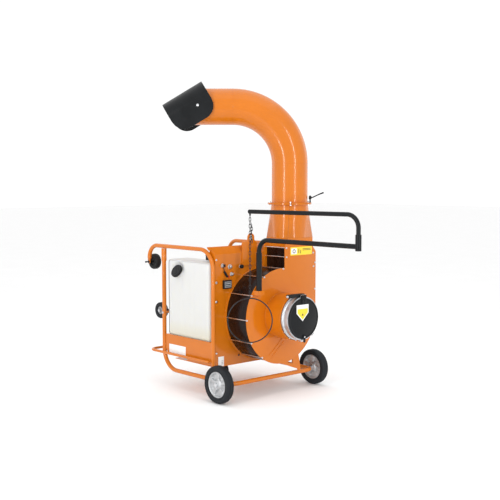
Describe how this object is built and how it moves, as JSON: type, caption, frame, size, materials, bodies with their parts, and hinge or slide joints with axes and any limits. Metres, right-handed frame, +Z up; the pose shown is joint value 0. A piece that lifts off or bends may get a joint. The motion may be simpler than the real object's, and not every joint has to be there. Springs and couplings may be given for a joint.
{
  "type": "debris loader",
  "caption": "Engine-driven suction blower on a wheeled tube frame, with swivel spout, tilting hood, fuel tank and a hinged boom carrying a hose ring.",
  "frame": {"origin": "middle of the underside of the bounding box, on the ground", "axes": "+Z up, -Y towards the suction inlet, +X the right side seen from the front"},
  "size_m": [0.9618, 1.9064, 2.1392],
  "materials": {
    "orange_paint": "glossy powder coat",
    "black_paint": "satin",
    "zinc_plate": "satin",
    "cast_alloy": "cast",
    "tyre_rubber": "matt",
    "liner_rubber": "satin",
    "black_plastic": "moulded",
    "tank_plastic": "translucent blow moulding"
  },
  "bodies": {
    "chassis": {"top_frame_left": "orange_paint", "top_frame_right": "orange_paint", "base_frame": "orange_paint", "foot_bar": "orange_paint", "front_wall": "orange_paint", "lift_eye": "orange_paint", "tank_shelf": "orange_paint", "engine_deck": "orange_paint", "floor_pan": "orange_paint", "volute_front_plate": "orange_paint", "volute_rear_plate": "orange_paint", "volute_foot": "orange_paint", "discharge_transition": "orange_paint", "inlet_neck": "orange_paint", "boom_bracket": "orange_paint", "engine_shroud": "black_paint", "inlet_ring": "zinc_plate", "axle_left": "zinc_plate", "axle_right": "zinc_plate", "castor_plate": "zinc_plate", "muffler": "zinc_plate", "engine_block": "cast_alloy", "volute_liner": "liner_rubber", "hour_meter": "black_plastic", "electrical_box": "black_plastic", "air_cleaner": "black_plastic", "battery": "black_plastic", "fuel_tank": "tank_plastic"},
    "wheel_left": {"wheel_left_tyre": "tyre_rubber", "wheel_left_rim": "cast_alloy"},
    "wheel_right": {"wheel_right_tyre": "tyre_rubber", "wheel_right_rim": "cast_alloy"},
    "castor_swivel": {"castor_fork": "zinc_plate"},
    "castor_roll": {"castor_wheel": "tyre_rubber"},
    "fan": {"fan_impeller": "black_paint"},
    "spout": {"spout_pipe": "orange_paint"},
    "clamp_lever": {"clamp_lever": "black_paint"},
    "hood": {"hood": "black_paint"},
    "boom_lower": {"boom_lower_arm": "black_paint"},
    "boom_upper": {"boom_upper_arm": "black_paint"},
    "chain": {"hose_chain": "black_paint"},
    "ring": {"hose_ring": "black_paint"},
    "cover": {"inlet_cover": "black_paint"},
    "latch": {"cover_latch": "black_paint"},
    "cap": {"fuel_cap": "black_plastic"},
    "key": {"ignition_key": "black_plastic"},
    "start_button": {"start_button": "zinc_plate"},
    "stop_button": {"stop_button": "zinc_plate"},
    "choke": {"choke_knob": "black_plastic"},
    "upper_roller_left": {"upper_roller_left": "tyre_rubber"},
    "upper_roller_right": {"upper_roller_right": "tyre_rubber"},
    "lower_roller_left": {"lower_roller_left": "tyre_rubber"},
    "lower_roller_right": {"lower_roller_right": "tyre_rubber"}
  },
  "joints": [
    {"name": "wheel_left_spin", "type": "hinge", "parent": "chassis", "child": "wheel_left", "pos_m": [-0.43706, 0.03725, 0.125], "axis": [1, 0, 0], "continuous": true},
    {"name": "wheel_right_spin", "type": "hinge", "parent": "chassis", "child": "wheel_right", "pos_m": [0.45094, 0.03725, 0.125], "axis": [1, 0, 0], "continuous": true},
    {"name": "castor_swivel", "type": "hinge", "parent": "chassis", "child": "castor_swivel", "pos_m": [0.00694, 0.50725, 0.2], "axis": [0, 0, 1], "continuous": true},
    {"name": "castor_spin", "type": "hinge", "parent": "castor_swivel", "child": "castor_roll", "pos_m": [0.00694, 0.54725, 0.078], "axis": [1, 0, 0], "continuous": true},
    {"name": "fan_spin", "type": "hinge", "parent": "chassis", "child": "fan", "pos_m": [0.05194, 0.03725, 0.545], "axis": [0, 1, 0], "continuous": true},
    {"name": "spout_swivel", "type": "hinge", "parent": "chassis", "child": "spout", "pos_m": [0.23194, 0.06525, 1.3], "axis": [0, 0, 1], "range_deg": [-180, 180]},
    {"name": "clamp_lever_turn", "type": "hinge", "parent": "spout", "child": "clamp_lever", "pos_m": [0.33821, -0.03044, 1.31], "axis": [0, 0, 1], "range_deg": [-60, 60]},
    {"name": "hood_tilt", "type": "hinge", "parent": "spout", "child": "hood", "pos_m": [-0.23625, 0.4868, 1.966], "axis": [-0.6691, -0.7431, 0], "range_deg": [-31, 25]},
    {"name": "boom_lower_swing", "type": "hinge", "parent": "chassis", "child": "boom_lower", "pos_m": [-0.18306, -0.07275, 0.734], "axis": [0, 0, 1], "range_deg": [-25, 30]},
    {"name": "boom_upper_swing", "type": "hinge", "parent": "boom_lower", "child": "boom_upper", "pos_m": [-0.18306, -0.93475, 1.062], "axis": [0, 0, 1], "range_deg": [0, 180]},
    {"name": "chain_swing", "type": "hinge", "parent": "boom_upper", "child": "chain", "pos_m": [-0.29906, -0.11275, 1.2295], "axis": [-0.6691, -0.7431, 0], "range_deg": [-5, 12]},
    {"name": "ring_swing", "type": "hinge", "parent": "chain", "child": "ring", "pos_m": [-0.29906, -0.11275, 0.7012], "axis": [0.7431, -0.6691, 0], "range_deg": [-20, 12]},
    {"name": "cover_hinge", "type": "hinge", "parent": "chassis", "child": "cover", "pos_m": [0.05194, -0.25475, 0.701], "axis": [-1, 0, 0], "range_deg": [0, 110]},
    {"name": "latch_turn", "type": "hinge", "parent": "cover", "child": "latch", "pos_m": [0.05194, -0.26275, 0.425], "axis": [0, 1, 0], "range_deg": [0, 90]},
    {"name": "cap_turn", "type": "hinge", "parent": "chassis", "child": "cap", "pos_m": [-0.39206, 0.53125, 0.828], "axis": [-0.848, 0, 0.5299], "continuous": true},
    {"name": "key_turn", "type": "hinge", "parent": "chassis", "child": "key", "pos_m": [-0.29306, 0.16725, 0.89], "axis": [0, 1, 0], "range_deg": [0, 70]},
    {"name": "start_press", "type": "slide", "parent": "chassis", "child": "start_button", "axis": [0, 1, 0], "range_m": [0, 0.005], "stiffness_N_per_m": 600},
    {"name": "stop_press", "type": "slide", "parent": "chassis", "child": "stop_button", "axis": [0, 1, 0], "range_m": [0, 0.005], "stiffness_N_per_m": 600},
    {"name": "choke_pull", "type": "slide", "parent": "chassis", "child": "choke", "axis": [0, -1, 0], "range_m": [0, 0.03]},
    {"name": "upper_roller_left_spin", "type": "hinge", "parent": "chassis", "child": "upper_roller_left", "pos_m": [-0.32006, 0.89725, 0.873], "axis": [1, 0, 0], "continuous": true},
    {"name": "lower_roller_left_spin", "type": "hinge", "parent": "chassis", "child": "lower_roller_left", "pos_m": [-0.32006, 0.81925, 0.523], "axis": [1, 0, 0], "continuous": true},
    {"name": "upper_roller_right_spin", "type": "hinge", "parent": "chassis", "child": "upper_roller_right", "pos_m": [0.33394, 0.89725, 0.873], "axis": [1, 0, 0], "continuous": true},
    {"name": "lower_roller_right_spin", "type": "hinge", "parent": "chassis", "child": "lower_roller_right", "pos_m": [0.33394, 0.81925, 0.523], "axis": [1, 0, 0], "continuous": true}
  ]
}
